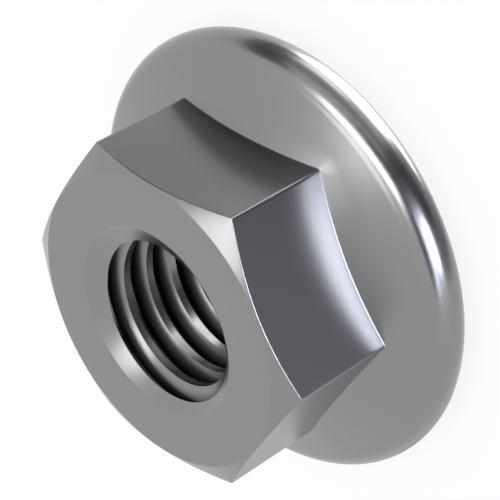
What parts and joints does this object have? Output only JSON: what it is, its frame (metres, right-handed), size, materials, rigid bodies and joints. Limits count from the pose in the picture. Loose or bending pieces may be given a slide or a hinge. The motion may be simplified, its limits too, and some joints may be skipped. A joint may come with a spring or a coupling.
{
  "type": "serrated flange nut",
  "caption": "Hexagon nut with a round-rimmed flange, serrations on its bearing face and a right-hand tapped bore.",
  "frame": {"origin": "centre of the bearing face, on the plane of the serration tips", "axes": "+Z along the thread, towards the hexagon's free face; two corners of the hexagon lie on the X axis"},
  "size_m": [0.0196, 0.0196, 0.008],
  "materials": {
    "plain_steel": "satin, as formed and turned"
  },
  "bodies": {
    "root": {"flange_nut": "plain_steel"}
  },
  "joints": []
}
